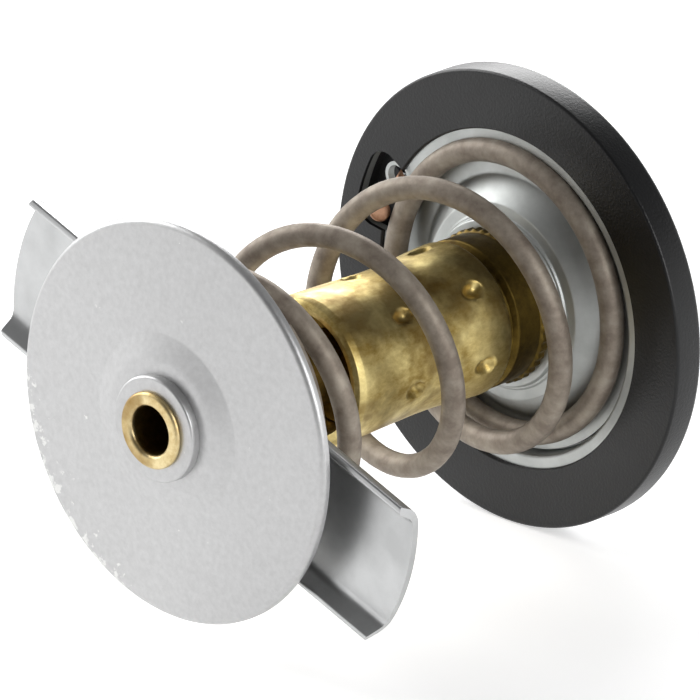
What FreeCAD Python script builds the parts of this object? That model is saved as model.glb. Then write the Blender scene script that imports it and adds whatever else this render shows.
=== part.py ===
# Bypass thermostat of a large engine: rubber sealed flange, wax element, valve, spring and bypass disc.
# Each piece is drawn along its own axis (+Z towards the bypass disc) and then laid down on its side,
# so that the finished part has the bypass disc towards -Y, the far side towards +Y and +Z up.
# The origin is on the axis, halfway through the rubber ring. All sizes are in millimetres.
import FreeCAD, Part
import math
import os

os.makedirs("parts", exist_ok=True)
V = FreeCAD.Vector

# Fits and small gaps
running_gap = 0.05
loose_gap = 0.3

# Rubber ring that the housing clamps
seal_radius = 33.5
seal_bore_radius = 24.8
seal_thickness = 5.0
seal_edge = 0.3
seal_back_edge = 0.8
seal_inner_chamfer = 0.6
seal_back_bore_radius = 25.4
pocket_rim_wall = 3.1
pocket_outer_radius = seal_radius - pocket_rim_wall
pocket_start_deg = 146.0
pocket_end_deg = 171.5
pocket_corner_share = 0.47
vent_relief_radius = 3.9
vent_relief_shift = 2.35

# Pressed flange: raised outer ring in the rubber, sloping wall, valve seat and the vent lug
flange_cover = 2.7
flange_radius = seal_radius - flange_cover
flange_thickness = 1.2
flange_back = -1.7
flange_ring_rise = 2.0
flange_wall_inset = 0.2
flange_wall_slope = 1.2
flange_wall_top_radius = seal_bore_radius - flange_wall_inset
flange_wall_foot_radius = flange_wall_top_radius - flange_wall_slope
flange_bend_radius = 0.3
port_radius = 21.3
vent_from_wall = 1.0
vent_centre_radius = flange_wall_top_radius + vent_from_wall
vent_angle_deg = 151.0
vent_hole_radius = 1.6
vent_lug_radius = 2.7

# Loose pin in the vent hole
pin_tilt_deg = 52.0
pin_droop_deg = 262.4
pin_shank_radius = 0.45
pin_head_radius = 1.85
pin_head_length = 1.0
pin_head_gap = 3.5
pin_blade_radius = 1.5
pin_blade_thickness = 0.8
pin_blade_distance = 6.0
pin_blade_roll_deg = 35.0

# Stepped valve plate
plate_thickness = 0.8
plate_radius = 22.5
shelf_inner_radius = 17.9
shoulder_radius = 14.5
shoulder_rise = 3.3
boss_radius = 12.3
boss_rise = 4.6
plate_bend_radius = 0.5

# Wax element
case_start_gap = 0.8
case_length = 28.7
case_wall = 1.4
case_end_radius = 11.4
case_waist_radius = case_end_radius - 0.7
case_foot_radius = case_end_radius - 0.4
case_foot_length = 4.5
case_waist_start = 12.0
case_waist_end = 16.0
case_foot_round = 1.0
case_lip_width = 2.1
collar_radius = case_end_radius + 0.2
collar_height = 2.7
collar_neck_radius = 9.8
guide_insert_length = 6.0
guide_tail_radius = 5.2
guide_tail_length = 4.4
dent_count = 6
dent_ball_radius = 1.5
dent_depth = 0.55
dent_offset_deg = 44.0
dent_rows_from_case_start = (8.6, 22.4)
backing_washer_radius = 9.0
backing_washer_thickness = 1.2
end_plug_thickness = 2.0
end_plug_from_case_end = 3.4
sleeve_wall = 1.7
sleeve_flange_thickness = 1.6
sleeve_flange_radius = 7.0
support_ring_thickness = 1.0
piston_radius = 2.4
piston_reach = 20.0
seal_lip_thickness = 1.4
seal_lip_radius = 4.0

# Stirrup on the far side
stirrup_thickness = 1.8
stirrup_width = 11.0
stirrup_leg_radius = 22.7
stirrup_leg_length = 10.5
stirrup_height = 18.5
stirrup_top_half = 10.0
stirrup_bend_radius = 3.0
stirrup_turn_deg = 119.0
seat_outer_radius = 4.6
seat_flange_radius = 6.4
seat_flange_thickness = 1.0
seat_depth = 5.0
seat_floor = 1.6

# Main spring
wire_radius = 1.72
spring_plate_radius = 20.7
spring_waist_radius = 18.2
spring_bar_radius = 18.8
spring_waist_deg = 720.0
spring_start_deg = -285.0
spring_rise_end_deg = 1110.0
spring_end_deg = 1370.0
spring_zero_deg = 119.0
spring_ramp_deg = 60.0
first_pitch = 16.8
main_pitch = 21.4
first_pitch_end_deg = 340.0
spring_step_deg = 15.0

# Channel crossbar
bar_back = 61.85
bar_thickness = 1.05
bar_half_width = 10.15
bar_wall_height = 3.4
bar_flare = 1.35
bar_left_reach = 39.1
bar_right_reach = 41.8
bar_end_arc_radius = 30.0
bar_left_arc_shift = 2.4
bar_right_arc_shift = -1.0
bar_bend_radius = 0.8
bar_turn_deg = -20.0
bar_hole_radius = 5.1

# Tube from the case to the disc
tube_radius = 5.0
tube_bore_radius = 3.6
tube_foot_radius = case_end_radius - case_lip_width - loose_gap
tube_foot_thickness = 1.2
tip_radius = 5.9
tip_height = 1.2

# Snap ring and spring seat in front of the crossbar
stop_ring_radius = 6.8
stop_ring_thickness = 1.0
stop_groove_depth = 0.6
stop_ring_opening = 3.0
seat_washer_radius = 8.4
seat_washer_thickness = 0.8

# Bypass disc, its washer and its small spring
disc_radius = 29.4
disc_thickness = 1.4
disc_from_bar = 7.25
disc_rim_top = bar_back + disc_from_bar
disc_cone_rise = 1.2
disc_cone_top = disc_rim_top + disc_cone_rise
disc_cone_inner_radius = 13.0
disc_boss_radius = 10.3
disc_boss_rise = 1.3
disc_bend_radius = 1.0
disc_rim_round = 0.8
hub_washer_radius = 7.75
hub_washer_thickness = 1.5
bypass_wire_radius = 0.5
bypass_spring_radius = 7.4
bypass_turns = 1.5
bypass_step_deg = 20.0

# Levels that follow from the sizes above
flange_front = flange_back + flange_thickness
flange_ring_back = flange_back + flange_ring_rise
flange_ring_front = flange_ring_back + flange_thickness
plate_back = flange_front
shelf_level = plate_back + plate_thickness
boss_level = shelf_level + boss_rise
shoulder_level = shelf_level + shoulder_rise
collar_top = boss_level + collar_height
case_start = collar_top + case_start_gap
case_end = case_start + case_length
plug_start = case_end - end_plug_from_case_end
tube_foot_start = plug_start + end_plug_thickness
tube_start = tube_foot_start + tube_foot_thickness
insert_top = case_start + guide_insert_length
support_top = insert_top + support_ring_thickness
sleeve_flange_top = support_top + sleeve_flange_thickness
guide_tail = boss_level - plate_thickness - guide_tail_length
washer_top = boss_level - plate_thickness
bar_front = bar_back + bar_thickness
stop_top = bar_front + stop_ring_thickness
seat_washer_top = stop_top + seat_washer_thickness
disc_boss_front = disc_cone_top + disc_boss_rise
disc_boss_back = disc_boss_front - disc_thickness
hub_washer_top = disc_boss_front + hub_washer_thickness
tip_top = hub_washer_top + tip_height
stirrup_back = flange_back - stirrup_height
case_bore_radius = case_waist_radius - case_wall


def lay_down(shape):
    shape = shape.copy()
    shape.Placement = FreeCAD.Placement(V(0, 0, 0), FreeCAD.Rotation(V(1, 0, 0), 90)).multiply(shape.Placement)
    return shape


def save(name, shape):
    if not shape.isValid():
        raise ValueError(name + " is not a valid solid")
    lay_down(shape).exportStep("parts/" + name + ".step")


def polar(radius, angle_deg, height=0.0):
    angle = math.radians(angle_deg)
    return V(radius * math.cos(angle), radius * math.sin(angle), height)


def cylinder(radius, low, high):
    return Part.makeCylinder(radius, high - low, V(0, 0, low))


def ring(outer, inner, low, high):
    return cylinder(outer, low, high).cut(cylinder(inner, low - 1, high + 1))


def rounded_edges(points, radii):
    """Straight runs through the points, each corner rounded by its own radius."""
    edges = []
    start = points[0]
    for before, corner, after, radius in zip(points, points[1:], points[2:], radii):
        back = (before - corner).normalize()
        ahead = (after - corner).normalize()
        turn = math.pi - back.getAngle(ahead)
        if radius > 0 and turn > 0.001:
            reach = radius * math.tan(turn / 2)
            middle = (back + ahead).normalize() * (radius / math.cos(turn / 2) - radius)
            arc = Part.Arc(corner + back * reach, corner + middle, corner + ahead * reach)
            edges.append(Part.LineSegment(start, corner + back * reach).toShape())
            edges.append(arc.toShape())
            start = corner + ahead * reach
        else:
            edges.append(Part.LineSegment(start, corner).toShape())
            start = corner
    edges.append(Part.LineSegment(start, points[-1]).toShape())
    return edges


def shifted(points, distance):
    """The same run of points in the XZ plane, moved sideways by a distance."""
    moved = []
    for index, point in enumerate(points):
        before = points[index - 1] if index > 0 else None
        after = points[index + 1] if index + 1 < len(points) else None
        sides = []
        if before is not None:
            along = (point - before).normalize()
            sides.append(V(-along.z, 0, along.x))
        if after is not None:
            along = (after - point).normalize()
            sides.append(V(-along.z, 0, along.x))
        side = sides[0] if len(sides) == 1 else (sides[0] + sides[1]).normalize()
        moved.append(point + side * (distance / side.dot(sides[0])))
    return moved


def sheet_section(points, thickness, bend_radius):
    """Closed outline of a bent sheet in the XZ plane: the points are its left hand surface."""
    other = shifted(points, -thickness)
    left_radii = []
    right_radii = []
    for before, corner, after in zip(points, points[1:], points[2:]):
        turn = (corner - before).cross(after - corner).y
        left_radii.append(bend_radius if turn < 0 else bend_radius + thickness)
        right_radii.append(bend_radius + thickness if turn < 0 else bend_radius)
    edges = rounded_edges(points, left_radii)
    edges.append(Part.LineSegment(points[-1], other[-1]).toShape())
    edges += rounded_edges(other[::-1], right_radii[::-1])
    edges.append(Part.LineSegment(other[0], points[0]).toShape())
    return Part.Face(Part.Wire(Part.__sortEdges__(edges)))


def turned_sheet(pairs, thickness, bend_radius):
    points = [V(radius, 0, height) for radius, height in pairs]
    return sheet_section(points, thickness, bend_radius).revolve(V(0, 0, 0), V(0, 0, 1), 360)


def turned(pairs):
    """A solid of revolution from the corner points (radius, height) of half its section."""
    points = [V(radius, 0, height) for radius, height in pairs]
    face = Part.Face(Part.makePolygon(points + [points[0]]))
    return face.revolve(V(0, 0, 0), V(0, 0, 1), 360)


def sector(inner, outer, start_deg, end_deg, corner_radius, low, high):
    """Part of a ring between two angles, with its upright edges rounded."""
    wires = [
        Part.Arc(polar(outer, start_deg), polar(outer, (start_deg + end_deg) / 2), polar(outer, end_deg)).toShape(),
        Part.LineSegment(polar(outer, end_deg), polar(inner, end_deg)).toShape(),
        Part.Arc(polar(inner, end_deg), polar(inner, (start_deg + end_deg) / 2), polar(inner, start_deg)).toShape(),
        Part.LineSegment(polar(inner, start_deg), polar(outer, start_deg)).toShape(),
    ]
    solid = Part.Face(Part.Wire(wires)).extrude(V(0, 0, high - low))
    solid.translate(V(0, 0, low))
    upright = [edge for edge in solid.Edges if abs(edge.tangentAt(edge.FirstParameter).z) > 0.99]
    far = [edge for edge in upright if edge.CenterOfMass.x ** 2 + edge.CenterOfMass.y ** 2 > ((inner + outer) / 2) ** 2]
    return solid.makeFillet(corner_radius, far)


def coil(path_points, section_radius):
    """Round wire along a smooth line through the points, with flat ends."""
    line = Part.BSplineCurve()
    line.interpolate(path_points)
    wire = Part.Wire([line.toShape()])
    start = line.value(line.FirstParameter)
    tangent = line.tangent(line.FirstParameter)[0]
    section = Part.Wire([Part.makeCircle(section_radius, start, tangent)])
    return wire.makePipeShell([section], True, True)


def vent_pocket(low, high):
    return sector(
        seal_bore_radius - 1, pocket_outer_radius, pocket_start_deg, pocket_end_deg,
        pocket_corner_share * (pocket_outer_radius - seal_bore_radius + 1), low, high,
    )


def seal_ring():
    half = seal_thickness / 2
    body = turned([
        (seal_back_bore_radius, -half), (seal_radius - seal_back_edge, -half),
        (seal_radius, -half + seal_back_edge), (seal_radius, half - seal_edge), (seal_radius - seal_edge, half),
        (seal_bore_radius + seal_inner_chamfer, half), (seal_bore_radius, half - seal_inner_chamfer),
        (seal_bore_radius, flange_ring_back), (seal_back_bore_radius, flange_ring_back),
    ])
    groove = ring(flange_radius, seal_bore_radius - 1, flange_ring_back, flange_ring_front)
    centre = polar(vent_centre_radius, vent_angle_deg, -half - 1) - polar(vent_relief_shift, pin_droop_deg)
    vent = Part.makeCylinder(vent_relief_radius, half + 1 + flange_ring_front, centre)
    return body.cut(groove).cut(vent_pocket(flange_ring_back, half + 1)).cut(vent)


def flange_plate():
    plate = turned_sheet([
        (port_radius, flange_front), (flange_wall_foot_radius, flange_front),
        (flange_wall_top_radius, flange_ring_front), (flange_radius, flange_ring_front),
    ], flange_thickness, flange_bend_radius)
    notch = vent_pocket(flange_front, flange_ring_front + 1)
    centre = polar(vent_centre_radius, vent_angle_deg, flange_ring_back)
    lug = Part.makeCylinder(vent_lug_radius, flange_thickness, centre)
    lug = lug.cut(cylinder(flange_wall_foot_radius, flange_back, flange_ring_front + 1))
    hole = Part.makeCylinder(vent_hole_radius, 3 * flange_thickness, centre - V(0, 0, flange_thickness))
    plate = plate.cut(notch).fuse(lug).cut(hole)
    for side in (0, 180):
        plate = plate.cut(stirrup_tenon(side, 0.0))
    return plate.removeSplitter()


def stirrup_tenon(side_deg, extra):
    tenon = Part.makeBox(stirrup_thickness, stirrup_width / 2, flange_thickness + extra)
    tenon.translate(V(stirrup_leg_radius, -stirrup_width / 4, flange_back - extra))
    tenon.rotate(V(0, 0, 0), V(0, 0, 1), stirrup_turn_deg + side_deg)
    return tenon


def stirrup():
    leg = stirrup_leg_radius
    knee = flange_back - stirrup_leg_length
    points = [
        V(leg, 0, flange_back), V(leg, 0, knee), V(stirrup_top_half, 0, stirrup_back),
        V(-stirrup_top_half, 0, stirrup_back), V(-leg, 0, knee), V(-leg, 0, flange_back),
    ]
    outline = sheet_section(points[::-1], stirrup_thickness, stirrup_bend_radius)
    strap = outline.extrude(V(0, stirrup_width, 0))
    strap.translate(V(0, -stirrup_width / 2, 0))
    strap = strap.cut(cylinder(seat_outer_radius, stirrup_back - 2 * stirrup_thickness, stirrup_back + stirrup_thickness))
    strap.rotate(V(0, 0, 0), V(0, 0, 1), stirrup_turn_deg)
    for side in (0, 180):
        strap = strap.fuse(stirrup_tenon(side, 0.5))
    return strap.removeSplitter()


def piston_seat():
    inner = stirrup_back
    body = cylinder(seat_outer_radius, inner - seat_floor, inner + seat_depth - seat_floor)
    body = body.fuse(ring(seat_flange_radius, seat_outer_radius - 1, inner, inner + seat_flange_thickness))
    socket = cylinder(piston_radius, inner, inner + seat_depth + 1)
    return body.cut(socket).removeSplitter()


def piston():
    rod = cylinder(piston_radius, stirrup_back, stirrup_back + seat_depth + piston_length())
    return rod.makeChamfer(0.4, [edge for edge in rod.Edges if edge.Length < 7 * piston_radius])


def piston_length():
    return insert_top + piston_reach - guide_insert_length - stirrup_back - seat_depth


def valve_plate():
    level = plate_back + plate_thickness
    return turned_sheet([
        (guide_tail_radius, level + boss_rise), (boss_radius, level + boss_rise),
        (boss_radius + 0.4, level + shoulder_rise), (shoulder_radius, level + shoulder_rise),
        (shelf_inner_radius, level), (plate_radius, level),
    ], plate_thickness, plate_bend_radius)


def backing_washer():
    return ring(backing_washer_radius, guide_tail_radius, washer_top - backing_washer_thickness, washer_top)


def guide_body():
    body = turned([
        (piston_radius + running_gap, guide_tail), (guide_tail_radius, guide_tail),
        (guide_tail_radius, boss_level), (collar_radius - 0.5, boss_level),
        (collar_radius, boss_level + 0.5), (collar_radius, collar_top - 0.4),
        (collar_radius - 0.4, collar_top), (collar_neck_radius, collar_top),
        (collar_neck_radius, case_start), (case_bore_radius, case_start),
        (case_bore_radius, insert_top), (piston_radius + running_gap, insert_top),
    ])
    return body.cut(cylinder(seal_lip_radius, guide_tail - 1, guide_tail + seal_lip_thickness))


def piston_seal():
    return ring(seal_lip_radius, piston_radius + running_gap, guide_tail, guide_tail + seal_lip_thickness)


def element_case():
    foot = case_start
    outside = [
        (case_bore_radius, foot), (case_foot_radius - case_foot_round, foot),
        (case_foot_radius - 0.3 * case_foot_round, foot + 0.3 * case_foot_round),
        (case_foot_radius, foot + case_foot_round), (case_foot_radius, foot + case_foot_length),
        (case_waist_radius, foot + case_waist_start), (case_waist_radius, foot + case_waist_end),
        (case_end_radius, case_end - 1.2), (case_end_radius - 0.35, case_end - 0.35),
        (case_end_radius - 1.1, case_end), (case_end_radius - case_lip_width, case_end - 0.3),
        (case_end_radius - case_lip_width, tube_start), (case_bore_radius, tube_start),
    ]
    shell = turned(outside)
    for row, height in enumerate(dent_rows_from_case_start):
        for index in range(dent_count):
            angle = dent_offset_deg + index * 360.0 / dent_count
            radius = case_waist_radius + dent_ball_radius - dent_depth + (0.25 if row == 0 else 0.15)
            shell = shell.cut(Part.makeSphere(dent_ball_radius, polar(radius, angle, foot + height)))
    return shell


def support_ring():
    return ring(case_bore_radius, piston_radius + running_gap, insert_top, support_top)


def rubber_sleeve():
    bore = piston_radius + running_gap
    outer = bore + sleeve_wall
    tip = stirrup_back + seat_depth + piston_length() + loose_gap
    return turned([
        (bore, support_top), (sleeve_flange_radius, support_top), (sleeve_flange_radius, sleeve_flange_top),
        (outer, sleeve_flange_top), (outer, tip + sleeve_wall - 0.8), (outer - 0.8, tip + sleeve_wall),
        (0, tip + sleeve_wall), (0, tip), (bore, tip),
    ])


def wax_charge():
    body = cylinder(case_bore_radius, support_top, plug_start)
    inner = cylinder(sleeve_flange_radius, support_top, sleeve_flange_top)
    sleeve_outer = piston_radius + running_gap + sleeve_wall
    tip = stirrup_back + seat_depth + piston_length() + loose_gap + sleeve_wall
    return body.cut(inner).cut(cylinder(sleeve_outer, support_top, tip))


def end_plug():
    return cylinder(case_bore_radius, plug_start, tube_foot_start)


def stem_tube():
    body = turned([
        (0, tube_foot_start), (tube_foot_radius, tube_foot_start), (tube_foot_radius, tube_start),
        (tube_radius, tube_start), (tube_radius, bar_front), (tube_radius - stop_groove_depth, bar_front),
        (tube_radius - stop_groove_depth, stop_top), (tube_radius, stop_top),
        (tube_radius, hub_washer_top), (tip_radius - 0.3, hub_washer_top),
        (tip_radius, hub_washer_top + 0.3), (tip_radius - 0.25, tip_top - 0.25),
        (tip_radius - 0.9, tip_top), (tube_bore_radius + 0.7, tip_top),
        (tube_bore_radius, tip_top - 0.7), (tube_bore_radius, tube_start + 1), (0, tube_start + 1),
    ])
    return body


def stop_ring():
    body = ring(stop_ring_radius, tube_radius - stop_groove_depth, bar_front, stop_top)
    gap = Part.makeBox(stop_ring_radius, stop_ring_opening, 2 * stop_ring_thickness)
    gap.translate(V(0, -stop_ring_opening / 2, bar_front - stop_ring_thickness / 2))
    return body.cut(gap)


def spring_seat():
    return ring(seat_washer_radius, tube_radius, stop_top, seat_washer_top)


def crossbar():
    half = bar_half_width
    top = bar_back + bar_wall_height
    points = [
        V(half + bar_flare, 0, top), V(half, 0, bar_back), V(-half, 0, bar_back), V(-half - bar_flare, 0, top),
    ]
    section = sheet_section(points, bar_thickness, bar_bend_radius)
    bar = section.extrude(V(0, bar_left_reach + bar_right_reach, 0))
    bar.translate(V(0, -bar_right_reach, 0))
    end = cylinder(bar_end_arc_radius, bar_back - 1, top + 1)
    left_end = end.translated(V(bar_left_arc_shift, bar_left_reach - bar_end_arc_radius, 0))
    right_end = end.translated(V(bar_right_arc_shift, bar_end_arc_radius - bar_right_reach, 0))
    middle = Part.makeBox(4 * half, 2 * bar_end_arc_radius, bar_wall_height + 2)
    middle.translate(V(-2 * half, -bar_end_arc_radius, bar_back - 1))
    bar = bar.common(left_end.fuse(right_end).fuse(middle))
    bar = bar.cut(cylinder(bar_hole_radius, bar_back - 1, top + 1))
    bar.rotate(V(0, 0, 0), V(0, 0, 1), bar_turn_deg + 90)
    return bar.removeSplitter()


def spring_pitch(angle):
    """Rise per turn at an angle of the wire: none in the closed ends, with soft changes between."""
    if angle <= 0 or angle >= spring_rise_end_deg:
        return 0.0
    pitch = first_pitch if angle < first_pitch_end_deg else main_pitch
    return pitch * min(1.0, angle / spring_ramp_deg, (spring_rise_end_deg - angle) / spring_ramp_deg)


def spring_radius(angle):
    if angle <= 0:
        return spring_plate_radius
    if angle <= spring_waist_deg:
        share = (1 - math.cos(math.pi * angle / spring_waist_deg)) / 2
        return spring_plate_radius + (spring_waist_radius - spring_plate_radius) * share
    share = min(1.0, (angle - spring_waist_deg) / (spring_rise_end_deg - spring_waist_deg))
    return spring_waist_radius + (spring_bar_radius - spring_waist_radius) * (1 - math.cos(math.pi * share)) / 2


def main_spring():
    low = shelf_level + wire_radius
    high = bar_back - wire_radius
    steps = round((spring_end_deg - spring_start_deg) / spring_step_deg)
    angles = [spring_start_deg + (spring_end_deg - spring_start_deg) * index / steps for index in range(steps + 1)]
    heights = [0.0]
    for before, after in zip(angles, angles[1:]):
        heights.append(heights[-1] + spring_pitch((before + after) / 2) * (after - before) / 360)
    scale = (high - low) / heights[-1]
    points = [
        polar(spring_radius(angle), spring_zero_deg + angle, low + height * scale)
        for angle, height in zip(angles, heights)
    ]
    return coil(points, wire_radius)


def bypass_spring():
    low = seat_washer_top + bypass_wire_radius
    high = disc_boss_back - bypass_wire_radius
    total = 360.0 * (bypass_turns + 1.5)
    closed = 270.0
    steps = round(total / bypass_step_deg)
    points = []
    for index in range(steps + 1):
        angle = total * index / steps
        share = min(1.0, max(0.0, (angle - closed) / (total - 2 * closed)))
        share = share * share * (3 - 2 * share)
        points.append(polar(bypass_spring_radius, angle, low + (high - low) * share))
    return coil(points, bypass_wire_radius)


def bypass_disc():
    points = [
        V(tube_radius + running_gap, 0, disc_boss_front), V(disc_boss_radius, 0, disc_boss_front),
        V(disc_cone_inner_radius, 0, disc_cone_top), V(disc_radius, 0, disc_rim_top),
    ]
    section = sheet_section(points, disc_thickness, disc_bend_radius)
    disc = section.revolve(V(0, 0, 0), V(0, 0, 1), 360)
    rim = [edge for edge in disc.Edges if abs(edge.Length - 2 * math.pi * disc_radius) < 0.01]
    return disc.makeFillet(disc_rim_round, rim)


def hub_washer():
    body = ring(hub_washer_radius, tube_radius, disc_boss_front, hub_washer_top)
    rim = [edge for edge in body.Edges if edge.Length > 6.2 * hub_washer_radius]
    return body.makeChamfer(0.25, rim)


def jiggle_pin():
    back = -pin_head_gap
    head = Part.makeCylinder(pin_head_radius, pin_head_length, V(0, 0, back - pin_head_length))
    head = head.makeFillet(0.4, [edge for edge in head.Edges if edge.Length > 6 * pin_head_radius])
    shank = Part.makeCylinder(pin_shank_radius, pin_blade_distance + pin_head_gap - pin_blade_radius / 2, V(0, 0, back - 0.2))
    half_blade = pin_blade_thickness / 2
    blade = Part.makeCylinder(pin_blade_radius, pin_blade_thickness, V(0, -half_blade, pin_blade_distance), V(0, 1, 0))
    blade = blade.makeFillet(0.2, [edge for edge in blade.Edges if edge.Length > 6 * pin_blade_radius])
    blade.rotate(V(0, 0, 0), V(0, 0, 1), pin_blade_roll_deg)
    pin = head.fuse(shank).fuse(blade).removeSplitter()
    pin.rotate(V(0, 0, 0), V(0, 1, 0), pin_tilt_deg)
    pin.rotate(V(0, 0, 0), V(0, 0, 1), pin_droop_deg)
    pin.translate(polar(vent_centre_radius, vent_angle_deg, flange_ring_back + flange_thickness / 2))
    return pin


pieces = [
    seal_ring, flange_plate, stirrup, piston_seat, piston, valve_plate, backing_washer, guide_body,
    piston_seal, support_ring, rubber_sleeve, wax_charge, element_case, end_plug, stem_tube, stop_ring,
    spring_seat, crossbar, main_spring, bypass_spring, bypass_disc, hub_washer, jiggle_pin,
]

for piece in pieces:
    solid = piece()
    save(piece.__name__, solid)
    print(piece.__name__, "volume", round(solid.Volume, 1), "faces", len(solid.Faces))
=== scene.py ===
import math

import bpy
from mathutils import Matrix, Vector


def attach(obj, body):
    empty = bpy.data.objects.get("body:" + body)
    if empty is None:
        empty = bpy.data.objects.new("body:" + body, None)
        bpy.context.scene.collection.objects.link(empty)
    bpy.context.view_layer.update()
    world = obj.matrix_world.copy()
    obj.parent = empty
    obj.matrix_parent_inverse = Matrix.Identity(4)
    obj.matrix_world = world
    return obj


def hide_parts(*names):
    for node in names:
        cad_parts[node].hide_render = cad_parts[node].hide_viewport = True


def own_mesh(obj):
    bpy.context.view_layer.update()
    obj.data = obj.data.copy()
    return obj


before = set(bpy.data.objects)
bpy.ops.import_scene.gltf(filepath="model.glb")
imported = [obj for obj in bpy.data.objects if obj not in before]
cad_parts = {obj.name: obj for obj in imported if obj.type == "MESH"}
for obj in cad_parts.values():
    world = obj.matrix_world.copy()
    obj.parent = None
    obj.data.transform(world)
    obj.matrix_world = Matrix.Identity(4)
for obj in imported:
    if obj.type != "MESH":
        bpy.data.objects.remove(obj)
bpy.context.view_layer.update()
scene = bpy.context.scene
scene.view_settings.view_transform = "Standard"

# The camera stands far off with a long lens, a little above the part and on the side of the bypass disc,
# as in the photograph. Its target is on the part's axis, about halfway along it.
mm = 0.001
camera_target = Vector((0.42, -34.4, 1.3)) * mm
camera_distance = 4.085
camera_azimuth = math.radians(44.54)
camera_elevation = math.radians(21.27)
camera_data = bpy.data.cameras.new("camera")
camera_data.lens = 1500
camera_data.sensor_width = 36
camera_data.clip_start = 0.05
camera_data.clip_end = 20
camera = bpy.data.objects.new("camera", camera_data)
scene.collection.objects.link(camera)
towards_camera = Vector((
    math.sin(camera_azimuth) * math.cos(camera_elevation),
    -math.cos(camera_azimuth) * math.cos(camera_elevation),
    math.sin(camera_elevation),
))
camera.location = camera_target + towards_camera * camera_distance
camera.rotation_euler = (-towards_camera).to_track_quat("-Z", "Y").to_euler()
scene.camera = camera


# Studio: one wide soft lamp over the camera's left shoulder, a weaker one on the right and one from behind,
# white paper that stands round the part and lies under it, and a dim ceiling and camera side. Polished metal
# mirrors the dim parts, which gives it its dark edges.
def linear(hex_colour):
    """A colour written as six hex digits in sRGB, as the linear values that Blender uses."""
    values = [int(hex_colour[i:i + 2], 16) / 255 for i in (0, 2, 4)]
    return [v / 12.92 if v <= 0.04045 else ((v + 0.055) / 1.055) ** 2.4 for v in values] + [1.0]


def start_nodes(owner):
    """Gives a material or the world an empty node tree."""
    owner.use_nodes = True
    owner.node_tree.nodes.clear()
    return owner


def add_node(owner, kind, links=None, inputs=None, **settings):
    """Adds one shader node, sets it, and links other nodes' outputs into its inputs. An input goes by its name
    or its number: a Map Range node reads the range 1 to 2 and gives the range 3 to 4."""
    node = owner.node_tree.nodes.new(kind)
    for key, value in settings.items():
        setattr(node, key, value)
    for key, value in (inputs or {}).items():
        node.inputs[key].default_value = value
    for key, output in (links or {}).items():
        owner.node_tree.links.new(output, node.inputs[key])
    return node


camera_side = (0.7, -0.7, 0.1)
world = start_nodes(bpy.data.worlds.new("studio"))
scene.world = world
path = add_node(world, "ShaderNodeLightPath")
surround = add_node(world, "ShaderNodeTexCoord")
height = add_node(world, "ShaderNodeSeparateXYZ", {0: surround.outputs["Generated"]})
below_ceiling = add_node(
    world, "ShaderNodeMapRange", {0: height.outputs["Z"]}, {1: 0.12, 2: 0.45, 3: 1.0, 4: 0.12},
)
facing = add_node(
    world, "ShaderNodeVectorMath", {0: surround.outputs["Generated"]}, {1: camera_side}, operation="DOT_PRODUCT",
)
off_camera_side = add_node(
    world, "ShaderNodeMapRange", {0: facing.outputs["Value"]}, {1: 0.3, 2: 0.75, 3: 1.0, 4: 0.2},
)
paper_there = add_node(
    world, "ShaderNodeMath", {0: below_ceiling.outputs[0], 1: off_camera_side.outputs[0]}, operation="MULTIPLY",
)
mirrored = add_node(
    world, "ShaderNodeMath", {0: path.outputs["Is Glossy Ray"], 1: paper_there.outputs[0]}, operation="MULTIPLY",
)
straight = add_node(
    world, "ShaderNodeMath", {0: path.outputs["Is Camera Ray"], 1: path.outputs["Is Transmission Ray"]},
    operation="MAXIMUM",
)
shown = add_node(world, "ShaderNodeMath", {0: straight.outputs[0], 1: mirrored.outputs[0]}, operation="MAXIMUM")
dim = add_node(
    world, "ShaderNodeBackground", {"Strength": paper_there.outputs[0]}, {"Color": (0.78, 0.78, 0.8, 1)},
)
white = add_node(world, "ShaderNodeBackground", inputs={"Color": (1, 1, 1, 1), "Strength": 1.0})
mixed = add_node(world, "ShaderNodeMixShader", {0: shown.outputs[0], 1: dim.outputs[0], 2: white.outputs[0]})
add_node(world, "ShaderNodeOutputWorld", {"Surface": mixed.outputs[0]})

# Each lamp: its place and width in metres, and its power in watts. All point at the middle of the part.
part_middle = Vector((0, -0.034, 0))
for name, place, size, watts in (
    ("key_lamp", (-0.95, -0.2, 0.5), 0.8, 9.0),
    ("side_lamp", (0.85, -0.1, 0.35), 0.5, 4.0),
    ("back_lamp", (-0.62, 0.64, 0.44), 0.6, 6.0),
):
    lamp = bpy.data.lights.new(name, "AREA")
    lamp.size = size
    lamp.energy = watts
    lamp_object = bpy.data.objects.new(name, lamp)
    lamp_object.location = place
    lamp_object.rotation_euler = (part_middle - Vector(place)).to_track_quat("-Z", "Y").to_euler()
    scene.collection.objects.link(lamp_object)

# The seal ring stands on the floor. White paper: matt, and lit a little so that it shows as white.
floor_height = -0.0336
bpy.ops.object.select_all(action="DESELECT")
bpy.ops.mesh.primitive_plane_add(size=0.7, location=(0, part_middle.y, floor_height))
floor = bpy.context.object
floor.name = "floor"
paper = start_nodes(bpy.data.materials.new("white_paper"))
path = add_node(paper, "ShaderNodeLightPath")
sheet = add_node(paper, "ShaderNodeBsdfDiffuse", inputs={"Color": linear("F4F4F4")})
glow = add_node(paper, "ShaderNodeEmission", inputs={"Color": (1, 1, 1, 1), "Strength": 0.55})
lit = add_node(paper, "ShaderNodeAddShader", {0: sheet.outputs[0], 1: glow.outputs[0]})
straight = add_node(
    paper, "ShaderNodeMath", {0: path.outputs["Is Camera Ray"], 1: path.outputs["Is Transmission Ray"]},
    operation="MAXIMUM",
)
shown = add_node(
    paper, "ShaderNodeMath", {0: straight.outputs[0], 1: path.outputs["Is Glossy Ray"]}, operation="MAXIMUM",
)
seen = add_node(paper, "ShaderNodeMixShader", {0: shown.outputs[0], 1: sheet.outputs[0], 2: lit.outputs[0]})
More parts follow.
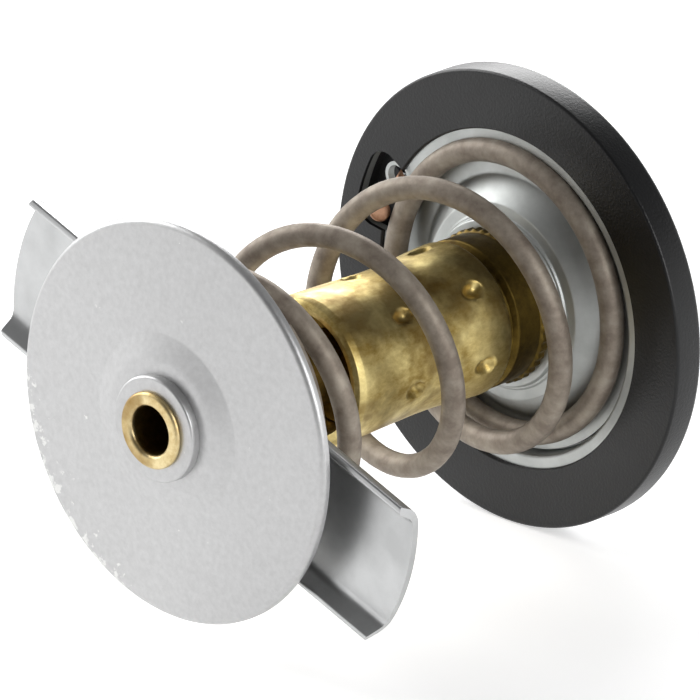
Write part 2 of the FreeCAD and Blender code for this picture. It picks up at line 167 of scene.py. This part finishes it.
add_node(paper, "ShaderNodeOutputMaterial", {"Surface": seen.outputs[0]})
floor.data.materials.append(paper)


# Seal ring: a thick ring of black rubber moulded round the edge of the flange. The housing clamps its two
# faces. A kidney shaped pocket leaves the vent lug free.
def rounded(corners):
    """Corner points (radius, y, rounding) joined in a closed outline, each rounded corner drawn as an arc."""
    outline = []
    count = len(corners)
    for index, (radius, along, rounding) in enumerate(corners):
        corner = Vector((radius, along))
        if rounding == 0:
            outline.append(corner)
            continue
        back = (Vector(corners[index - 1][:2]) - corner).normalized()
        ahead = (Vector(corners[(index + 1) % count][:2]) - corner).normalized()
        half = back.angle(ahead) / 2
        middle = corner + (back + ahead).normalized() * (rounding / math.sin(half))
        first = corner + back * (rounding / math.tan(half)) - middle
        last = corner + ahead * (rounding / math.tan(half)) - middle
        turn = first.angle_signed(last)
        steps = max(2, int(abs(turn) / math.radians(14)) + 1)
        for step in range(steps + 1):
            angle = -turn * step / steps
            outline.append(middle + Vector((
                first.x * math.cos(angle) - first.y * math.sin(angle),
                first.x * math.sin(angle) + first.y * math.cos(angle),
            )))
    return outline


def drawn_line(name, places):
    """A new piece, left in edit mode, that holds one closed line: a point is extruded from place to place."""
    bpy.ops.object.select_all(action="DESELECT")
    bpy.ops.mesh.primitive_plane_add(size=0.01)
    piece = bpy.context.object
    piece.name = piece.data.name = name
    bpy.ops.object.mode_set(mode="EDIT")
    bpy.ops.mesh.select_all(action="SELECT")
    bpy.ops.mesh.merge(type="CENTER")
    bpy.ops.transform.translate(value=places[0])
    for before, after in zip(places, places[1:] + places[:1]):
        bpy.ops.mesh.extrude_region_move(TRANSFORM_OT_translate={"value": after - before})
    bpy.ops.mesh.select_all(action="SELECT")
    bpy.ops.mesh.remove_doubles(threshold=0.000001)
    return piece


sharp_edge = math.radians(32)


def turned(name, corners, turns=160, start_deg=0.0, sweep_deg=360.0):
    """A solid turned about the part's axis from an outline in millimetres."""
    start = math.radians(start_deg)
    places = [
        Vector((point.x * math.cos(start), point.y, point.x * math.sin(start))) * mm for point in rounded(corners)
    ]
    piece = drawn_line(name, places)
    if sweep_deg < 360:
        bpy.ops.mesh.edge_face_add()
    bpy.ops.mesh.spin(steps=turns, angle=math.radians(sweep_deg), center=(0, 0, 0), axis=(0, 1, 0))
    bpy.ops.mesh.select_all(action="SELECT")
    bpy.ops.mesh.remove_doubles(threshold=0.000001)
    bpy.ops.mesh.normals_make_consistent(inside=False)
    bpy.ops.object.mode_set(mode="OBJECT")
    bpy.ops.object.shade_smooth_by_angle(angle=sharp_edge)
    return piece


def round_blank(name, radius, centre, low, high, sides=48):
    """A round blank along the part's axis, between two heights in millimetres."""
    bpy.ops.object.select_all(action="DESELECT")
    bpy.ops.mesh.primitive_cylinder_add(
        vertices=sides, radius=radius * mm, depth=(high - low) * mm,
        location=(centre[0] * mm, (low + high) / 2 * mm, centre[1] * mm), rotation=(math.radians(90), 0, 0),
    )
    blank = bpy.context.object
    blank.name = name
    bpy.ops.object.transform_apply(location=True, rotation=True, scale=True)
    return blank


def apply_step(piece, kind, **settings):
    """Adds one modifier with its settings, and applies it."""
    bpy.ops.object.select_all(action="DESELECT")
    bpy.context.view_layer.objects.active = piece
    piece.select_set(True)
    step = piece.modifiers.new(kind.lower(), kind)
    for key, value in settings.items():
        setattr(step, key, value)
    bpy.ops.object.modifier_apply(modifier=step.name)


def cut(piece, tool):
    """Takes the tool's shape out of the piece and removes the tool."""
    apply_step(piece, "BOOLEAN", object=tool, solver="EXACT")
    bpy.data.objects.remove(tool)
    bpy.ops.object.shade_smooth_by_angle(angle=sharp_edge)


def polar(radius, angle_deg):
    """A place on a circle round the part's axis, as its x and z."""
    angle = math.radians(angle_deg)
    return (radius * math.cos(angle), radius * math.sin(angle))


def dress(piece, body, slot, material, *nodes):
    """Gives a finished piece its body and its material, and hides the CAD nodes that it stands for."""
    piece.data.materials.clear()
    piece.data.materials.append(material)
    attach(piece, body)
    if nodes:
        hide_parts(*nodes)


ring_radius = 33.5
ring_bore = 24.8
ring_back_bore = 25.4
ring_half = 2.5
groove_radius = 30.8
groove_back = -0.68
groove_front = -1.92
seal_ring = turned("seal_ring_moulding", [
    (ring_bore + 0.25, -ring_half, 0.1), (ring_radius, -ring_half, 0.45), (ring_radius, ring_half, 0.9),
    (ring_back_bore, ring_half, 0.3), (ring_back_bore, groove_back, 0), (groove_radius, groove_back, 0),
    (groove_radius, groove_front, 0), (ring_bore, groove_front, 0), (ring_bore, 0.3 - ring_half, 0.1),
], 240)

pocket_bore = 23.8
pocket_middle = 27.3
pocket_back = 30.4
pocket_mouth_degs = (146, 171.5)
pocket_back_degs = (152.5, 165.0)


def cut_pocket(piece, low, high):
    """The kidney shaped pocket: open to the bore, its two far corners drawn with a radius."""
    for name, inner, outer, turns, degs in (
        ("pocket_mouth", pocket_bore, pocket_middle, 26, pocket_mouth_degs),
        ("pocket_back", pocket_middle - 0.5, pocket_back, 14, pocket_back_degs),
    ):
        outline = [(inner, low, 0), (outer, low, 0), (outer, high, 0), (inner, high, 0)]
        cut(piece, turned(name, outline, turns, degs[0], degs[1] - degs[0]))
    for corner_deg in pocket_back_degs:
        corner_radius = pocket_back - pocket_middle
        cut(piece, round_blank("pocket_corner", corner_radius, polar(pocket_middle, corner_deg), low, high))


# The vent pin leans, so the room for its head lies a little to one side of its hole.
vent_place = polar(25.6, 151.0)
head_place = (vent_place[0] + 0.31, vent_place[1] + 2.33)
cut_pocket(seal_ring, -3.5, 0.9)
cut(seal_ring, round_blank("head_room", 3.9, head_place, -1.5, 3.5))

# Moulded black rubber: nearly black with a soft sheen, a grey bloom in clouds about 11 mm wide where it has
# been handled, and the 0.4 mm grain of a spark eroded mould.
rubber = start_nodes(bpy.data.materials.new("black_rubber"))
place = add_node(rubber, "ShaderNodeTexCoord")
skin = add_node(
    rubber, "ShaderNodeTexNoise", {"Vector": place.outputs["Object"]}, {"Scale": 2500.0, "Detail": 4.0},
)
bloom = add_node(
    rubber, "ShaderNodeTexNoise", {"Vector": place.outputs["Object"]}, {"Scale": 90.0, "Detail": 5.0},
)
shade = add_node(rubber, "ShaderNodeValToRGB", {0: bloom.outputs[0]})
shade.color_ramp.elements[0].position = 0.35
shade.color_ramp.elements[0].color = linear("0A0A0B")
shade.color_ramp.elements[1].position = 0.75
shade.color_ramp.elements[1].color = linear("151617")
grain = add_node(rubber, "ShaderNodeBump", {"Height": skin.outputs[0]}, {"Strength": 0.25, "Distance": 0.0002})
surface = add_node(
    rubber, "ShaderNodeBsdfPrincipled", {"Base Color": shade.outputs[0], "Normal": grain.outputs[0]},
    {"Roughness": 0.35, "IOR": 1.45},
)
add_node(rubber, "ShaderNodeOutputMaterial", {"Surface": surface.outputs[0]})
dress(seal_ring, "flange", "seal_rubber", rubber, "seal_ring")


# Flange: a ring stamped from stainless sheet, held in the groove of the rubber, with the valve port in the
# middle and one lug that carries the vent hole. Two slots take the feet of the stirrup.
def pressed_steel(name, base_hex, worn_hex, roughness, grain_mm=0.35, grain_depth=0.03, metallic=1.0):
    """Sheet steel: slightly cloudy colour, in clouds some 8 mm wide, and a fine grain from rolling and
    tumbling, whose width and depth are in millimetres."""
    steel = start_nodes(bpy.data.materials.new(name))
    place = add_node(steel, "ShaderNodeTexCoord")
    cloud = add_node(
        steel, "ShaderNodeTexNoise", {"Vector": place.outputs["Object"]},
        {"Scale": 120.0, "Detail": 6.0, "Roughness": 0.6},
    )
    colour = add_node(steel, "ShaderNodeValToRGB", {0: cloud.outputs[0]})
    colour.color_ramp.elements[0].position = 0.35
    colour.color_ramp.elements[0].color = linear(worn_hex)
    colour.color_ramp.elements[1].position = 0.65
    colour.color_ramp.elements[1].color = linear(base_hex)
    pits = add_node(
        steel, "ShaderNodeTexNoise", {"Vector": place.outputs["Object"]},
        {"Scale": 1000 / grain_mm, "Detail": 3.0},
    )
    bump = add_node(
        steel, "ShaderNodeBump", {"Height": pits.outputs[0]}, {"Strength": 0.5, "Distance": grain_depth * mm},
    )
    rough = add_node(
        steel, "ShaderNodeMapRange", {0: cloud.outputs[0]},
        {1: 0.3, 2: 0.7, 3: roughness + 0.03, 4: roughness - 0.03},
    )
    surface = add_node(
        steel, "ShaderNodeBsdfPrincipled",
        {"Base Color": colour.outputs[0], "Roughness": rough.outputs[0], "Normal": bump.outputs[0]},
        {"Metallic": metallic},
    )
    add_node(steel, "ShaderNodeOutputMaterial", {"Surface": surface.outputs[0]})
    return steel


# Stainless sheet, tumbled after stamping: bright but not mirror like, so that it fades softly into shade.
bright_sheet = pressed_steel("satin_stainless_sheet", "C6C9C7", "B0B3B1", 0.46, 0.5, 0.02, 0.85)


def join(piece, other):
    """Welds another closed shape into the piece."""
    apply_step(piece, "BOOLEAN", operation="UNION", object=other, solver="EXACT")
    bpy.data.objects.remove(other)


def block(name, size, centre, turn_deg):
    """A box in millimetres, turned about the part's axis."""
    bpy.ops.object.select_all(action="DESELECT")
    bpy.ops.mesh.primitive_cube_add(size=mm, location=[value * mm for value in centre])
    box = bpy.context.object
    box.name = name
    box.scale = size
    bpy.ops.object.transform_apply(location=True, rotation=True, scale=True)
    box.rotation_euler = (0, -math.radians(turn_deg), 0)
    bpy.ops.object.transform_apply(location=True, rotation=True, scale=True)
    return box


def round_edges(piece, width, segments=2, angle_deg=35):
    """Softens each edge that is sharper than the angle; the width is in millimetres."""
    apply_step(
        piece, "BEVEL", width=width * mm, segments=segments, limit_method="ANGLE",
        angle_limit=math.radians(angle_deg), use_clamp_overlap=True,
    )
    bpy.ops.object.shade_smooth_by_angle(angle=sharp_edge)


sheet_front = -1.9
sheet_back = -0.7
flange = turned("flange_stamping", [
    (21.3, 0.5, 0.1), (22.75, 0.5, 0.2), (23.0, sheet_front, 0.6), (groove_radius, sheet_front, 0),
    (groove_radius, sheet_back, 0), (24.3, sheet_back, 0.3), (24.08, 1.7, 0.8), (21.3, 1.7, 0.1),
], 240)
cut_pocket(flange, -2.5, 0.5)
for name, radius, centre in (("lug", 2.15, vent_place), ("lug_shoulder", 1.75, polar(25.2, 147.2))):
    lug = round_blank(name, radius, centre, sheet_front, sheet_back)
    cut(lug, round_blank("valve_room", 23.2, (0, 0), -3, 0, 96))
    join(flange, lug)
cut(flange, round_blank("vent_hole", 1.6, vent_place, -3, 3))
for side_deg in (119, 299):
    cut(flange, block("tenon_slot", (1.8, 3, 5.5), (23.6, 2.0, 0), side_deg))
round_edges(flange, 0.15)
dress(flange, "flange", "bright_steel", bright_sheet, "flange_plate")

# Valve plate: drawn from stainless sheet in steps, so that it is stiff under the spring. Its outer shelf
# closes the port and carries the last coil of the spring, and its middle is clamped by the guide body.
plate = turned("valve_plate_pressing", [
    (5.2, -4.1, 0), (11.6, -4.1, 0.4), (12.1, -2.8, 0.4), (13.9, -2.8, 0.6), (17.3, 0.5, 0.9), (22.5, 0.5, 0.1),
    (22.5, -0.3, 0.1), (17.9, -0.3, 0.8), (14.5, -3.6, 0.5), (12.9, -3.6, 0.2), (12.7, -4.0, 0.15),
    (12.4, -4.0, 0.15), (12.2, -4.9, 0.3), (5.2, -4.9, 0),
], 240)
dress(plate, "valve", "bright_steel", bright_sheet, "valve_plate")


# Guide body: turned from brass and left to tarnish. Its collar is crimped over the case's foot, which leaves
# fine ridges round its edge. The mouth of its bore holds the wiper of the piston.
def brass_metal(name, light_hex, dark_hex, roughness, streak, stain_hex=None):
    """Brass that has been handled: dull patches some 4 mm wide, drawn out along the part by the streak, and
    brighter worn places. A stain colour adds brown spots about 10 mm apart, from hot coolant. Shallow dents
    6 mm apart and a 1 mm texture break up what the metal mirrors."""
    brass = start_nodes(bpy.data.materials.new(name))
    place = add_node(brass, "ShaderNodeTexCoord")
    stretch = add_node(brass, "ShaderNodeMapping", {0: place.outputs["Object"]}, {3: (1.0, 1.0 / streak, 1.0)})
    cloud = add_node(
        brass, "ShaderNodeTexNoise", {"Vector": stretch.outputs[0]},
        {"Scale": 240.0, "Detail": 10.0, "Roughness": 0.7},
    )
    colour = add_node(brass, "ShaderNodeValToRGB", {0: cloud.outputs[0]})
    colour.color_ramp.elements[0].position = 0.36
    colour.color_ramp.elements[0].color = linear(dark_hex)
    colour.color_ramp.elements[1].position = 0.62
    colour.color_ramp.elements[1].color = linear(light_hex)
    base = colour.outputs[0]
    if stain_hex:
        spots = add_node(
            brass, "ShaderNodeTexNoise", {"Vector": place.outputs["Object"]},
            {"Scale": 95.0, "Detail": 4.0, "Roughness": 0.55},
        )
        spotted = add_node(
            brass, "ShaderNodeMapRange", {0: spots.outputs[0]}, {1: 0.5, 2: 0.62, 3: 0.0, 4: 0.65},
        )
        stained = add_node(
            brass, "ShaderNodeMix", {0: spotted.outputs[0], 6: base}, {7: linear(stain_hex)}, data_type="RGBA",
        )
        base = stained.outputs[2]
    fine = add_node(brass, "ShaderNodeTexNoise", {"Vector": stretch.outputs[0]}, {"Scale": 900.0, "Detail": 4.0})
    waves = add_node(
        brass, "ShaderNodeTexNoise", {"Vector": place.outputs["Object"]}, {"Scale": 160.0, "Detail": 2.0},
    )
    dents = add_node(brass, "ShaderNodeBump", {"Height": waves.outputs[0]}, {"Strength": 0.6, "Distance": 0.0004})
    bump = add_node(
        brass, "ShaderNodeBump", {"Height": fine.outputs[0], "Normal": dents.outputs[0]},
        {"Strength": 0.35, "Distance": 0.0001},
    )
    rough = add_node(
        brass, "ShaderNodeMapRange", {0: cloud.outputs[0]},
        {1: 0.3, 2: 0.7, 3: roughness + 0.14, 4: roughness - 0.05},
    )
    surface = add_node(
        brass, "ShaderNodeBsdfPrincipled",
        {"Base Color": base, "Roughness": rough.outputs[0], "Normal": bump.outputs[0]}, {"Metallic": 1.0},
    )
    add_node(brass, "ShaderNodeOutputMaterial", {"Surface": surface.outputs[0]})
    return brass


# Turned brass under an olive tarnish: dark, with the metal's own shine left in it.
tarnished_brass = brass_metal("tarnished_brass", "74602C", "45371A", 0.43, 1.0)
piston_bore = 2.45
ridge_sides = 176
guide = turned("guide_collar", [
    (piston_bore, 0.3, 0), (5.2, 0.3, 0.2), (5.2, -4.9, 0), (10.9, -4.9, 0), (11.3, -5.3, 0.1),
    (11.3, -6.5, 0.15), (10.9, -6.9, 0.1), (11.0, -11.2, 0.4), (10.1, -11.7, 0.2), (9.9, -12.6, 0),
    (9.3, -12.6, 0), (9.3, -14.4, 0), (piston_bore, -14.4, 0),
], ridge_sides)
ridge_depth = 0.25
for vertex in guide.data.vertices:
    reach = math.hypot(vertex.co.x, vertex.co.z) / mm
    ridge = round((math.atan2(vertex.co.z, vertex.co.x) / math.tau) * ridge_sides) % 4
    if reach > 11.15 and ridge < 2:
        vertex.co.x *= 1 - ridge_depth / reach
        vertex.co.z *= 1 - ridge_depth / reach
cut(guide, round_blank("wiper_seat", 4.0, (0, 0), -1.1, 1))
dress(guide, "valve", "dark_brass", tarnished_brass, "guide_body")

# Element case: drawn from brass tube, squeezed to a waist, and staked with two rows of punch marks that lock
# the guide body and the end plug in it. Each mark slopes in from the disc's side and ends in a steep wall.

# Drawn brass: yellow and shiny where it is rubbed, olive in the dull patches and brown in the stains.
case_brass = brass_metal("drawn_brass", "E6D494", "A58C4C", 0.37, 1.6, "6C5222")
case = turned("element_case_shell", [
    (9.3, -12.5, 0), (10.2, -12.5, 0.2), (11.25, -12.7, 0.9), (11.1, -17.0, 40), (10.65, -22.0, 40),
    (10.65, -27.0, 40), (11.2, -42.0, 0.8), (11.0, -43.1, 0.3), (10.3, -43.5, 0.2), (9.15, -43.1, 0.15),
    (9.15, -36.0, 0), (9.3, -35.7, 0),
], 216)

# The wall is parted into narrow bands first, so that the marks come out round. The bore stays as it is.
first_band = 13.7
band_width = 0.3
case_bore_limit = 10.1
bpy.ops.object.mode_set(mode="EDIT")
for band in range(93):
    bpy.ops.mesh.select_all(action="SELECT")
    bpy.ops.mesh.bisect(plane_co=(0, -(first_band + band_width * band) * mm, 0), plane_no=(0, 1, 0))
bpy.ops.object.mode_set(mode="OBJECT")
mark_depth = 1.1
mark_slope_length = 2.4
mark_wall_length = 1.3
mark_half_width = 1.3
soft_edge = math.radians(40)
for row_height in (17.0, 30.8):
    for index in range(6):
        across, upward = polar(11.0, 44.0 + 60 * index)
        spot = Vector((across, -row_height, upward))
        for vertex in case.data.vertices:
            place = vertex.co / mm
            reach = math.hypot(place.x, place.z)
            if reach < case_bore_limit:
                continue
            offset = place - spot
            length = mark_slope_length if offset.y < 0 else mark_wall_length
            away = math.hypot(offset.y / length, math.hypot(offset.x, offset.z) / mark_half_width)
            if away < 1:
                push = mark_depth * (1 - away ** 2.5)
                vertex.co.x *= 1 - push / reach
                vertex.co.z *= 1 - push / reach
bpy.ops.object.shade_smooth_by_angle(angle=soft_edge)
dress(case, "valve", "brass", case_brass, "element_case")

# Main spring: cold coiled from round wire, right handed, with a closed coil at each end. It is a little
# narrower in the middle, and at the plate it sits off the centre, towards one foot of the stirrup.

# Drawn spring wire, oil hardened: grey brown and dull, with darker scale in marks about 3 mm long and a fine
# grain of less than half a millimetre.
wire = start_nodes(bpy.data.materials.new("drawn_spring_wire"))
place = add_node(wire, "ShaderNodeTexCoord")
scale_marks = add_node(
    wire, "ShaderNodeTexNoise", {"Vector": place.outputs["Object"]},
    {"Scale": 350.0, "Detail": 6.0, "Roughness": 0.6},
)
wire_colour = add_node(wire, "ShaderNodeValToRGB", {0: scale_marks.outputs[0]})
wire_colour.color_ramp.elements[0].position = 0.35
wire_colour.color_ramp.elements[0].color = linear("82766A")
wire_colour.color_ramp.elements[1].position = 0.68
wire_colour.color_ramp.elements[1].color = linear("AAA092")
wire_grain = add_node(
    wire, "ShaderNodeTexNoise", {"Vector": place.outputs["Object"]}, {"Scale": 2200.0, "Detail": 3.0},
)
wire_bump = add_node(
    wire, "ShaderNodeBump", {"Height": wire_grain.outputs[0]}, {"Strength": 0.4, "Distance": 0.00008},
)
surface = add_node(
    wire, "ShaderNodeBsdfPrincipled", {"Base Color": wire_colour.outputs[0], "Normal": wire_bump.outputs[0]},
    {"Metallic": 0.45, "Roughness": 0.56},
)
add_node(wire, "ShaderNodeOutputMaterial", {"Surface": surface.outputs[0]})

wire_radius = 1.72
spring_low = 2.02
spring_high = 60.13
first_pitch = 16.8
open_pitch = 21.4
pitch_ramp_deg = 60
rise_end_deg = 1110
plate_coil_radius = 20.7
waist_radius = 18.2
bar_coil_radius = 18.8
lean_deg = 119


def spring_station(turn_deg):
    """The wire's rise, its distance from the spring's centre line and its angle, at a turn counted from where
    it leaves the closed coil on the plate."""
    rise = 0.0
    for degree in range(0, min(max(turn_deg, 0), rise_end_deg)):
        pitch = first_pitch if degree < 340 else open_pitch
        rise += pitch / 360 * min(1, degree / pitch_ramp_deg, (rise_end_deg - degree) / pitch_ramp_deg)
    radius = plate_coil_radius
    if turn_deg > 720:
        share = min(1, (turn_deg - 720) / (rise_end_deg - 720))
        radius = waist_radius + (bar_coil_radius - waist_radius) * (1 - math.cos(math.pi * share)) / 2
    elif turn_deg > 0:
        share = min(1, turn_deg / 600)
        radius -= (plate_coil_radius - waist_radius) * (1 - math.cos(math.pi * share)) / 2
    return rise, radius, lean_deg + turn_deg


stations = [spring_station(turn_deg) for turn_deg in range(-285, 1371, 5)]
whole_rise = stations[-1][0]
bpy.ops.object.select_all(action="DESELECT")
bpy.ops.curve.primitive_bezier_curve_add()
spring = bpy.context.object
spring.name = spring.data.name = "main_spring_wire"
spring.data.splines.clear()
line = spring.data.splines.new("POLY")
line.points.add(len(stations) - 1)
for point, (rise, radius, angle_deg) in zip(line.points, stations):
    share = rise / whole_rise
    wire_x, wire_z = polar(radius, angle_deg)
    lean_x, lean_z = polar(1.05 - 0.75 * share, lean_deg)
    height = spring_low + share * (spring_high - spring_low)
    point.co = ((wire_x + lean_x) * mm, -height * mm, (wire_z + lean_z) * mm, 1)
spring.data.dimensions = "3D"
spring.data.bevel_depth = wire_radius * mm
spring.data.bevel_resolution = 6
spring.data.use_fill_caps = True
bpy.ops.object.convert(target="MESH")
spring = bpy.context.object
bpy.ops.object.shade_smooth_by_angle(angle=soft_edge)
dress(spring, "valve", "spring_wire", wire, "main_spring")
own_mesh(spring)

# Crossbar: a strip of steel pressed into a shallow channel with leaning walls. Its round ends fit the bore
# of the housing, where they sit on ledges and hold the spring.

# Cold rolled strip, pressed and tumbled: light grey, and smooth enough to mirror the paper in soft bands.
bar_steel = pressed_steel("pressed_strip_steel", "CACBCB", "BABBBB", 0.36, 0.4, 0.03)
bar_turn = math.radians(-20.0)
bar_along = Vector((math.cos(bar_turn), 0, math.sin(bar_turn)))
bar_across = Vector((-math.sin(bar_turn), 0, math.cos(bar_turn)))
bar_blank_half = 42
bar_places = [
    (bar_across * point.x + Vector((0, point.y, 0)) - bar_along * bar_blank_half) * mm
    for point in rounded([
        (11.5, -65.25, 0.3), (10.15, -61.85, 2.6), (-10.15, -61.85, 2.6), (-11.5, -65.25, 0.3),
        (-10.5, -65.6, 0.4), (-9.1, -62.9, 1.6), (9.1, -62.9, 1.6), (10.5, -65.6, 0.4),
    ])
]
bar = drawn_line("crossbar_channel", bar_places)
bpy.ops.mesh.edge_face_add()
bpy.ops.mesh.extrude_region_move(TRANSFORM_OT_translate={"value": bar_along * 2 * bar_blank_half * mm})
bpy.ops.mesh.select_all(action="SELECT")
bpy.ops.mesh.normals_make_consistent(inside=False)
bpy.ops.object.mode_set(mode="OBJECT")
for along, across, start_deg in ((-9.1, 2.4, 70), (11.8, -1.0, -110)):
    trim = turned("end_trim", [(30, -70, 0), (60, -70, 0), (60, -55, 0), (30, -55, 0)], 120, start_deg, 180)
    trim.location = (bar_along * along + bar_across * across) * mm
    bpy.ops.object.transform_apply(location=True, rotation=True, scale=True)
    cut(bar, trim)
cut(bar, round_blank("tube_hole", 5.1, (0, 0), -70, -55, 64))
round_edges(bar, 0.18, 2, 50)
dress(bar, "bar", "pressed_steel", bar_steel, "crossbar")

# Bypass disc: stamped from thick sheet and dished, with a raised middle. Its sheared edge is rolled over on
# the outer side. The washer on its middle is turned from the same steel.

# Zinc plated steel: pale grey with a 1 mm mottle from the bath. Chips some 2 mm wide near the rim show
# whiter, on the side where the disc has rubbed.
disc_steel = start_nodes(bpy.data.materials.new("zinc_plated_disc"))
place = add_node(disc_steel, "ShaderNodeTexCoord")
mottle = add_node(
    disc_steel, "ShaderNodeTexNoise", {"Vector": place.outputs["Object"]},
    {"Scale": 1100.0, "Detail": 4.0, "Roughness": 0.65},
)
plating = add_node(disc_steel, "ShaderNodeValToRGB", {0: mottle.outputs[0]})
plating.color_ramp.elements[0].position = 0.3
plating.color_ramp.elements[0].color = linear("BFBFBF")
plating.color_ramp.elements[1].position = 0.7
plating.color_ramp.elements[1].color = linear("CBCBCB")
chips = add_node(
    disc_steel, "ShaderNodeTexNoise", {"Vector": place.outputs["Object"]},
    {"Scale": 420.0, "Detail": 5.0, "Roughness": 0.7},
)
level = add_node(
    disc_steel, "ShaderNodeVectorMath", {0: place.outputs["Object"]}, {1: (1.0, 0.0, 1.0)}, operation="MULTIPLY",
)
reach = add_node(disc_steel, "ShaderNodeVectorMath", {0: level.outputs[0]}, operation="LENGTH")
near_rim = add_node(
    disc_steel, "ShaderNodeMapRange", {0: reach.outputs["Value"]}, {1: 0.022, 2: 0.029, 3: 0.0, 4: 0.2},
)
worn_side = add_node(
    disc_steel, "ShaderNodeVectorMath", {0: place.outputs["Object"]}, {1: (-40.0, 0.0, -27.0)},
    operation="DOT_PRODUCT",
)
worn_share = add_node(
    disc_steel, "ShaderNodeMapRange", {0: worn_side.outputs["Value"]}, {1: 0.75, 2: 1.25, 3: 0.0, 4: 1.0},
)
worn_rim = add_node(
    disc_steel, "ShaderNodeMath", {0: near_rim.outputs[0], 1: worn_share.outputs[0]}, operation="MULTIPLY",
)
chipped = add_node(disc_steel, "ShaderNodeMath", {0: chips.outputs[0], 1: worn_rim.outputs[0]}, operation="ADD")
chip_mask = add_node(disc_steel, "ShaderNodeMapRange", {0: chipped.outputs[0]}, {1: 0.7, 2: 0.74, 3: 0.0, 4: 1.0})
face_colour = add_node(
    disc_steel, "ShaderNodeMix", {0: chip_mask.outputs[0], 6: plating.outputs[0]}, {7: linear("E4E4E2")},
    data_type="RGBA",
)
pocks = add_node(disc_steel, "ShaderNodeMath", {0: mottle.outputs[0], 1: chip_mask.outputs[0]}, operation="ADD")
relief = add_node(
    disc_steel, "ShaderNodeBump", {"Height": pocks.outputs[0]}, {"Strength": 0.35, "Distance": 0.00006},
)
surface = add_node(
    disc_steel, "ShaderNodeBsdfPrincipled", {"Base Color": face_colour.outputs[2], "Normal": relief.outputs[0]},
    {"Metallic": 0.85, "Roughness": 0.42},
)
add_node(disc_steel, "ShaderNodeOutputMaterial", {"Surface": surface.outputs[0]})

disc_front = -71.6
disc_hole = 5.05
disc = turned("bypass_disc_stamping", [
    (disc_hole, disc_front, 0.2), (9.6, disc_front, 5.0), (13.3, -70.25, 1.8), (29.4, -69.1, 0.9),
    (29.4, -67.7, 0.15), (13.1, -68.9, 1.2), (10.0, -70.2, 0.9), (disc_hole, -70.2, 0),
], 260)
dress(disc, "disc", "pressed_steel", disc_steel, "bypass_disc")

tube_radius = 5.0
washer_front = -73.1
washer = turned("hub_washer_turned", [
    (tube_radius, disc_front, 0), (7.75, disc_front, 0.1),
    (7.75, washer_front, 0.4), (tube_radius, washer_front, 0),
], 160)
dress(washer, "valve", "pressed_steel", disc_steel, "hub_washer")

# Stem tube: turned from brass bar, with a groove for the snap ring. Its end is rolled over the hub washer,
# and is a piece of its own here, so that only the shaft carries the painted shade below.

# Turned brass, darkened to brown all over as painted shade from the disc and crossbar; it hides the metal's
# yellow.
tube_bore = 3.6
shaded_tube_brass = brass_metal("shaded_tube_brass", "A08448", "665022", 0.38, 1.0)
tube = turned("stem_tube_turned", [
    (0, -35.7, 0), (9.0, -35.7, 0), (9.0, -36.9, 0.2), (tube_radius, -36.9, 0.3), (tube_radius, -62.9, 0),
    (4.4, -62.9, 0), (4.4, -63.9, 0), (tube_radius, -63.9, 0), (tube_radius, washer_front, 0),
    (tube_bore, washer_front, 0), (tube_bore, -37.9, 0), (0, -37.9, 0),
], 128)
dress(tube, "valve", "dark_brass", shaded_tube_brass, "stem_tube")

# The same brass at the rolled end, without the painted shade: pale yellow, with a few brown spots.
tube_brass = brass_metal("turned_brass", "E4D3A4", "BCA067", 0.36, 1.0, "86652F")
tube_lip = turned("tube_rolled_end", [
    (tube_bore, -72.9, 0), (tube_radius, -72.9, 0), (tube_radius, washer_front, 0), (5.4, washer_front, 0),
    (5.65, -73.4, 0.2), (5.5, -74.0, 0.6), (tube_bore, -74.0, 0.7),
], 128)
dress(tube_lip, "valve", "brass", tube_brass, "stem_tube")


# Stirrup: bent from thick stainless strip, its two feet riveted in slots of the flange. The piston pushes on
# its middle. Shearing and tumbling have softened its edges.
def merged_copy(node_name, name):
    """A copy of a CAD piece with its triangles welded together, free to be shaped."""
    bpy.ops.object.select_all(action="DESELECT")
    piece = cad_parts[node_name].copy()
    piece.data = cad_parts[node_name].data.copy()
    piece.name = piece.data.name = name
    for key in list(piece.keys()):
        del piece[key]
    scene.collection.objects.link(piece)
    bpy.context.view_layer.objects.active = piece
    piece.select_set(True)
    bpy.ops.object.mode_set(mode="EDIT")
    bpy.ops.mesh.select_all(action="SELECT")
    bpy.ops.mesh.remove_doubles(threshold=0.000002)
    bpy.ops.mesh.dissolve_limited(angle_limit=math.radians(1))
    bpy.ops.object.mode_set(mode="OBJECT")
    return piece


stirrup = merged_copy("stirrup", "stirrup_strip")
round_edges(stirrup, 0.22, 2, 40)
dress(stirrup, "flange", "bright_steel", bright_sheet, "stirrup")

# Small spring of the bypass disc: coiled from thinner wire of the same kind. It shortens between its seat and
# the back of the disc when the disc is pushed in.
small_spring = merged_copy("bypass_spring", "bypass_spring_wire")
bpy.ops.object.shade_smooth_by_angle(angle=soft_edge)
dress(small_spring, "valve", "spring_wire", wire, "bypass_spring")
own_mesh(small_spring)

# The other pieces keep the shape that they were drawn with: the vent pin, the piston with its seat and seals,
# the washers and the snap ring, and the wax and its sleeve inside the case.

# Bare copper: brown and dull, with a little pink where it has rubbed. Ground rod: a hard chromed shine.
copper = brass_metal("bare_copper", "B8937A", "8E6850", 0.36, 1.0)
polished_rod = pressed_steel("polished_rod", "D8D8DA", "C8C8CA", 0.12)
for metal, node_names in (
    (bright_sheet, ("piston_seat", "backing_washer")),
    (polished_rod, ("piston",)),
    (rubber, ("piston_seal", "support_ring", "rubber_sleeve")),
    (copper, ("wax_charge", "jiggle_pin")),
    (case_brass, ("end_plug",)),
    (wire, ("stop_ring",)),
    (bar_steel, ("spring_seat",)),
):
    for node_name in node_names:
        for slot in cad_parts[node_name].material_slots:
            slot.material = metal
